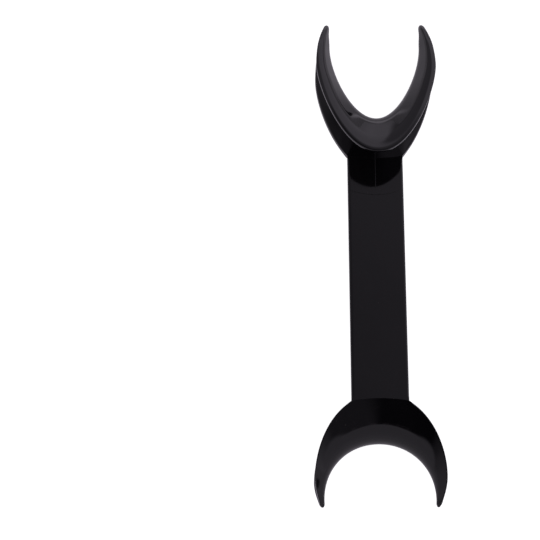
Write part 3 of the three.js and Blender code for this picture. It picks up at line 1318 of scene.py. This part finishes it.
@dataclass(frozen=True)
class Stage:
    """A pale floor under a soft studio sky that is dark overhead and bright round the sides.

    A sky is a list of (height, brightness) stops, where height is the sine of the elevation.
    The far sky's shares are (place, share) stops from left to right within `far_span`, and the
    places lean to the right with height, up to `far_lean_top`. `box_way` weighs how far left
    and how far onward a direction points, and adds a start, to say how far it lies inside the
    near soft box. The pairs called edge or end are the two ends of a soft step.
    """

    floor_reach: float = 4.0
    tint: Colour = (1.0, 0.93, 1.07)
    far_sky: Stops = (
        (0.0, 0.85), (0.2, 1.2), (0.6, 1.25), (0.79, 1.3), (0.86, 0.5), (0.91, 0.38), (1.0, 0.12),
    )
    far_shares: Stops = (
        (-0.43, 0.42), (-0.27, 1.0), (0.44, 1.05), (0.69, 0.62),
    )
    far_lean: float = 0.6
    far_lean_top: float = 0.6
    far_span: tuple[float, float] = (-1.4, 1.0)
    glow_sky: Stops = (
        (0.0, 0.5), (0.25, 0.36), (0.45, 0.18), (0.68, 0.0),
    )
    far_edge: tuple[float, float] = (-0.08, 0.32)
    left_sky: float = 0.14
    left_edge: tuple[float, float] = (-0.42, -0.3)
    left_end: tuple[float, float] = (-0.2, -0.04)
    right_sky: float = 0.16
    right_edge: tuple[float, float] = (0.05, 0.14)
    box_light: float = 0.6
    box_way: tuple[float, float, float] = (0.28, -2.75, -1.0)
    box_edge: tuple[float, float] = (-0.05, 0.12)
    fill_watts: float = 1.0
    fill_height: float = 1.4
    fill_size: float = 1.6

    @staticmethod
    def _ramp(graph: Graph, place: bpy.types.NodeSocket, stops: Stops,
              top: float) -> bpy.types.NodeSocket:
        """Adds a brightness that eases from stop to stop.

        Args:
            graph: The world's graph.
            place: Where it is read, from 0 to 1.
            stops: The (place, brightness) stops.
            top: The brightness that comes out as 1.

        Returns:
            The brightness as a share of the top.
        """
        node = graph.add("ShaderNodeValToRGB")
        node.color_ramp.interpolation = "EASE"
        elements = node.color_ramp.elements
        while len(elements) < len(stops):
            elements.new(0.5)
        for element, (at, bright) in zip(elements, stops):
            element.position = at
            element.color = solid(bright / top)
        graph.join(place, node.inputs["Fac"])
        return node.outputs["Color"]

    @property
    def peak(self) -> float:
        """The brightest stop of both skies."""
        return max(bright for _, bright in self.far_sky + self.glow_sky)

    def _near(self, graph: Graph, axes: bpy.types.Node) -> bpy.types.NodeSocket:
        """Makes the sky on the large hook's side: a low glow, two dim sides and a soft box.

        Args:
            graph: The world's graph.
            axes: The direction's X, Y and Z.

        Returns:
            The brightness as a share of the peak.
        """
        glow = self._ramp(graph, axes.outputs["Z"], self.glow_sky, self.peak)
        right = graph.band(axes.outputs["X"], *self.right_edge)
        aside = graph.maths("SUBTRACT", 1.0, graph.band(axes.outputs["X"], *self.left_edge))
        left = graph.maths("MULTIPLY", aside, graph.band(axes.outputs["Y"], *self.left_end))
        dim = graph.maths(
            "ADD",
            graph.maths("MULTIPLY", right, self.right_sky / self.peak),
            graph.maths("MULTIPLY", left, self.left_sky / self.peak),
        )
        leftward, onward, start = self.box_way
        sideways = graph.maths("MULTIPLY", graph.maths("MINIMUM", axes.outputs["X"], 0.0), leftward)
        ahead = graph.maths("MULTIPLY", axes.outputs["Y"], onward)
        inside = graph.maths("ADD", graph.maths("ADD", sideways, ahead), start)
        box = graph.band(inside, *self.box_edge)
        unlit = graph.maths("ADD", glow, dim)
        return graph.blend(box, unlit, solid(self.box_light / self.peak))

    def _far(self, graph: Graph, axes: bpy.types.Node) -> bpy.types.NodeSocket:
        """Makes the sky beyond the small hook: a wide soft box that is dimmer at both sides.

        Args:
            graph: The world's graph.
            axes: The direction's X, Y and Z.

        Returns:
            The brightness as a share of the peak.
        """
        bright = self._ramp(graph, axes.outputs["Z"], self.far_sky, self.peak)
        low, high = self.far_span
        held = graph.maths("MINIMUM", axes.outputs["Z"], self.far_lean_top)
        lean = graph.maths("MULTIPLY", held, self.far_lean)
        offset = graph.maths("SUBTRACT", graph.maths("SUBTRACT", axes.outputs["X"], lean), low)
        place = graph.maths("DIVIDE", offset, high - low)
        stops = tuple(((x - low) / (high - low), share) for x, share in self.far_shares)
        top = max(share for _, share in stops)
        shares = self._ramp(graph, place, stops, top)
        return graph.tinted(graph.tinted(bright, shares), solid(top))

    def _sky(self) -> None:
        """Makes the world's light."""
        world = bpy.data.worlds.new("studio_sky")
        world.use_nodes = True
        bpy.context.scene.world = world
        graph = Graph(world.node_tree)
        axes = graph.add("ShaderNodeSeparateXYZ")
        graph.join(graph.add("ShaderNodeTexCoord").outputs["Generated"], axes.inputs["Vector"])
        side = graph.band(axes.outputs["Y"], *self.far_edge)
        sky = graph.blend(side, self._near(graph, axes), self._far(graph, axes))
        background = world.node_tree.nodes["Background"]
        graph.join(graph.tinted(sky, (*self.tint, 1.0)), background.inputs["Color"])
        background.inputs["Strength"].default_value = self.peak

    def _floor(self) -> bpy.types.Object:
        """Makes the floor.

        Returns:
            The floor.
        """
        reach_out = self.floor_reach
        mesh = bpy.data.meshes.new("floor")
        corners = [(-reach_out, -reach_out, 0.0), (reach_out, -reach_out, 0.0),
                   (reach_out, reach_out, 0.0), (-reach_out, reach_out, 0.0)]
        mesh.from_pydata(corners, [], [(0, 1, 2, 3)])
        mesh.materials.append(FloorFinish().build())
        return in_scene("floor", mesh)

    def _fill(self) -> None:
        """Hangs a wide lamp that whitens the floor but isn't mirrored in the plastic."""
        lamp = bpy.data.lights.new("overhead_fill", "AREA")
        lamp.energy = self.fill_watts
        lamp.size = self.fill_size
        hung = in_scene("overhead_fill", lamp)
        hung.location = (0.0, 0.0, self.fill_height)
        hung.visible_glossy = False

    def build(self) -> None:
        """Builds the sky, the lamp and the floor, and shows plain tones."""
        self._sky()
        self._fill()
        self._floor()
        bpy.context.scene.view_settings.view_transform = "Standard"


@dataclass(frozen=True)
class CameraRig:
    """The camera's place against the handle frame: lengths in millimetres, angles in degrees.

    The shift is a share of the sensor's width.
    """

    lean: float = 16.5
    aside: float = -37.63
    ahead: float = 2.83
    away: float = 566.4
    along_handle: float = 0.35
    roll: float = 0.166
    lens: float = 106.67
    sensor: float = 36.0
    shift: float = -0.0026
    nearest: float = 10.0

    def build(self, place: Placement) -> bpy.types.Object:
        """Sets the camera up.

        Args:
            place: The handle frame's place.

        Returns:
            The camera.
        """
        data = bpy.data.cameras.new("camera")
        data.lens = self.lens
        data.sensor_width = self.sensor
        data.shift_x = self.shift
        data.clip_start = self.nearest * MM
        camera = in_scene("camera", data)
        lean = math.radians(self.lean)
        up = Vector((0.0, math.cos(lean), math.sin(lean)))
        back = Vector((0.0, -math.sin(lean), math.cos(lean)))
        spin = Matrix.Rotation(-math.radians(self.roll), 3, back)
        spot = spin @ (Vector((self.aside, 0, 0)) + self.ahead * up + self.away * back)
        spot.y += self.along_handle
        axes = Matrix((Vector((1, 0, 0)), up, back)).transposed()
        turn = place.matrix.to_3x3() @ spin @ axes
        camera.matrix_world = Matrix.Translation(place.point(*spot)) @ turn.to_4x4()
        bpy.context.scene.camera = camera
        return camera


# ---------------------------------------------------------------------------
# The whole retractor
# ---------------------------------------------------------------------------


class Retractor:
    """The double-ended retractor: one moulding in seven pieces, and its mould marks."""

    WITNESS_ROUGHNESS = 0.3
    MARK_WORDS = ("_line", "_mark")

    def __init__(self) -> None:
        """Plans both hooks, the handle between them and the marks."""
        self.small = Hook(SMALL, HANDLE)
        self.large = Hook(LARGE, HANDLE)
        self.handle = Handle(HANDLE, self.small, self.large)
        self.marks = MouldMarks()
        self.place = Placement.from_handle(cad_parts["handle"], self.small.neck_y)

    def build(self) -> list[bpy.types.Object]:
        """Builds every piece.

        Returns:
            The pieces.
        """
        pieces = {
            **self.handle.build(self.place),
            **self.small.build(self.place),
            **self.large.build(self.place),
        }
        for node, piece in pieces.items():
            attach(piece, BODY)
            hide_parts(node)
        marks = self.marks.build(self.handle, self.place)
        for mark in marks:
            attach(mark, BODY)
        return [*pieces.values(), *marks]

    def dress(self, pieces: list[bpy.types.Object]) -> None:
        """Gives the pieces their finishes.

        Args:
            pieces: The pieces.
        """
        effects = Effects()
        polished = PlasticFinish("polished_black_plastic").build(effects)
        witness = PlasticFinish(
            "black_plastic_witness_line", roughness=self.WITNESS_ROUGHNESS
        ).build(effects)
        for piece in pieces:
            is_mark = any(word in piece.name for word in self.MARK_WORDS)
            piece.data.materials.append(witness if is_mark else polished)


def main() -> None:
    """Builds the retractor, the stage and the camera."""
    logging.basicConfig(level=logging.INFO, format="%(name)s: %(message)s")
    retractor = Retractor()
    pieces = retractor.build()
    retractor.dress(pieces)
    for piece in pieces:
        LOG.info("%s: %d faces", piece.name, len(piece.data.polygons))
    Stage().build()
    camera = CameraRig().build(retractor.place)
    LOG.info("camera at %s", tuple(round(c, 4) for c in camera.location))


if __name__ == "__main__":
    main()
